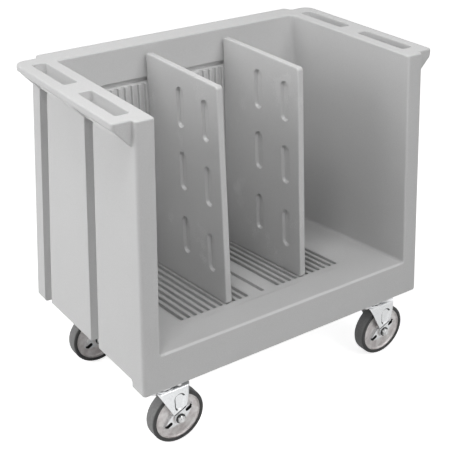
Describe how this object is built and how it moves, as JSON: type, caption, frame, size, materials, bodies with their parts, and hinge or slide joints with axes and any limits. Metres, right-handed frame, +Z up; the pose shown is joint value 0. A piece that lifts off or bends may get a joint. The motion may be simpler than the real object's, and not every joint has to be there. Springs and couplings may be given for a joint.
{
  "type": "tray dolly",
  "caption": "Moulded tray cart, open at front and top, with a grooved sloping floor, lift-out dividers, end ledges with hand-holds and swivel casters.",
  "frame": {"origin": "on the floor under the middle of the cart's bounding box", "axes": "+X along the cart's length, -Y out of the open tray side, +Z up"},
  "size_m": [0.92, 0.585, 0.904],
  "materials": {
    "cart_plastic": "satin speckled",
    "divider_plastic": "satin speckled",
    "zinc_steel": "zinc plated",
    "fastener_steel": "zinc plated",
    "insert_brass": "plain",
    "bearing_plastic": "plain",
    "wheel_disc": "satin",
    "tyre_rubber": "matt"
  },
  "bodies": {
    "cart": {"cart_body": "cart_plastic", "caster_inserts": "insert_brass", "caster_bolts": "fastener_steel", "caster_lock_washers": "fastener_steel", "front_left_top_plate": "zinc_steel", "front_left_kingpin": "fastener_steel", "front_left_kingpin_nut": "fastener_steel", "front_left_race_washer": "zinc_steel", "front_left_swivel_balls": "fastener_steel", "front_right_top_plate": "zinc_steel", "front_right_kingpin": "fastener_steel", "front_right_kingpin_nut": "fastener_steel", "front_right_race_washer": "zinc_steel", "front_right_swivel_balls": "fastener_steel", "rear_left_top_plate": "zinc_steel", "rear_left_kingpin": "fastener_steel", "rear_left_kingpin_nut": "fastener_steel", "rear_left_race_washer": "zinc_steel", "rear_left_swivel_balls": "fastener_steel", "rear_right_top_plate": "zinc_steel", "rear_right_kingpin": "fastener_steel", "rear_right_kingpin_nut": "fastener_steel", "rear_right_race_washer": "zinc_steel", "rear_right_swivel_balls": "fastener_steel"},
    "left_divider": {"divider_left": "divider_plastic"},
    "right_divider": {"divider_right": "divider_plastic"},
    "front_left_yoke": {"front_left_fork": "zinc_steel", "front_left_axle_bolt": "fastener_steel", "front_left_axle_nut": "fastener_steel", "front_left_axle_sleeve": "fastener_steel", "front_left_thrust_washers": "fastener_steel"},
    "front_left_roller": {"front_left_wheel": "wheel_disc", "front_left_tyre": "tyre_rubber", "front_left_wheel_bearing": "bearing_plastic"},
    "front_right_yoke": {"front_right_fork": "zinc_steel", "front_right_axle_bolt": "fastener_steel", "front_right_axle_nut": "fastener_steel", "front_right_axle_sleeve": "fastener_steel", "front_right_thrust_washers": "fastener_steel"},
    "front_right_roller": {"front_right_wheel": "wheel_disc", "front_right_tyre": "tyre_rubber", "front_right_wheel_bearing": "bearing_plastic"},
    "rear_left_yoke": {"rear_left_fork": "zinc_steel", "rear_left_axle_bolt": "fastener_steel", "rear_left_axle_nut": "fastener_steel", "rear_left_axle_sleeve": "fastener_steel", "rear_left_thrust_washers": "fastener_steel"},
    "rear_left_roller": {"rear_left_wheel": "wheel_disc", "rear_left_tyre": "tyre_rubber", "rear_left_wheel_bearing": "bearing_plastic"},
    "rear_right_yoke": {"rear_right_fork": "zinc_steel", "rear_right_axle_bolt": "fastener_steel", "rear_right_axle_nut": "fastener_steel", "rear_right_axle_sleeve": "fastener_steel", "rear_right_thrust_washers": "fastener_steel"},
    "rear_right_roller": {"rear_right_wheel": "wheel_disc", "rear_right_tyre": "tyre_rubber", "rear_right_wheel_bearing": "bearing_plastic"}
  },
  "joints": [
    {"name": "left_divider_lift", "type": "slide", "parent": "cart", "child": "left_divider", "axis": [0, 0, 1], "range_m": [0, 0.64]},
    {"name": "right_divider_lift", "type": "slide", "parent": "cart", "child": "right_divider", "axis": [0, 0, 1], "range_m": [0, 0.64]},
    {"name": "front_left_swivel", "type": "hinge", "parent": "cart", "child": "front_left_yoke", "pos_m": [-0.3465, -0.215, 0.174], "axis": [0, 0, 1], "continuous": true},
    {"name": "front_left_roll", "type": "hinge", "parent": "front_left_yoke", "child": "front_left_roller", "pos_m": [-0.3095, -0.215, 0.0762], "axis": [0, 1, 0], "continuous": true},
    {"name": "front_right_swivel", "type": "hinge", "parent": "cart", "child": "front_right_yoke", "pos_m": [0.3465, -0.215, 0.174], "axis": [0, 0, 1], "continuous": true},
    {"name": "front_right_roll", "type": "hinge", "parent": "front_right_yoke", "child": "front_right_roller", "pos_m": [0.3835, -0.215, 0.0762], "axis": [0, 1, 0], "continuous": true},
    {"name": "rear_left_swivel", "type": "hinge", "parent": "cart", "child": "rear_left_yoke", "pos_m": [-0.3465, 0.215, 0.174], "axis": [0, 0, 1], "continuous": true},
    {"name": "rear_left_roll", "type": "hinge", "parent": "rear_left_yoke", "child": "rear_left_roller", "pos_m": [-0.3095, 0.215, 0.0762], "axis": [0, 1, 0], "continuous": true},
    {"name": "rear_right_swivel", "type": "hinge", "parent": "cart", "child": "rear_right_yoke", "pos_m": [0.3465, 0.215, 0.174], "axis": [0, 0, 1], "continuous": true},
    {"name": "rear_right_roll", "type": "hinge", "parent": "rear_right_yoke", "child": "rear_right_roller", "pos_m": [0.3835, 0.215, 0.0762], "axis": [0, 1, 0], "continuous": true}
  ]
}
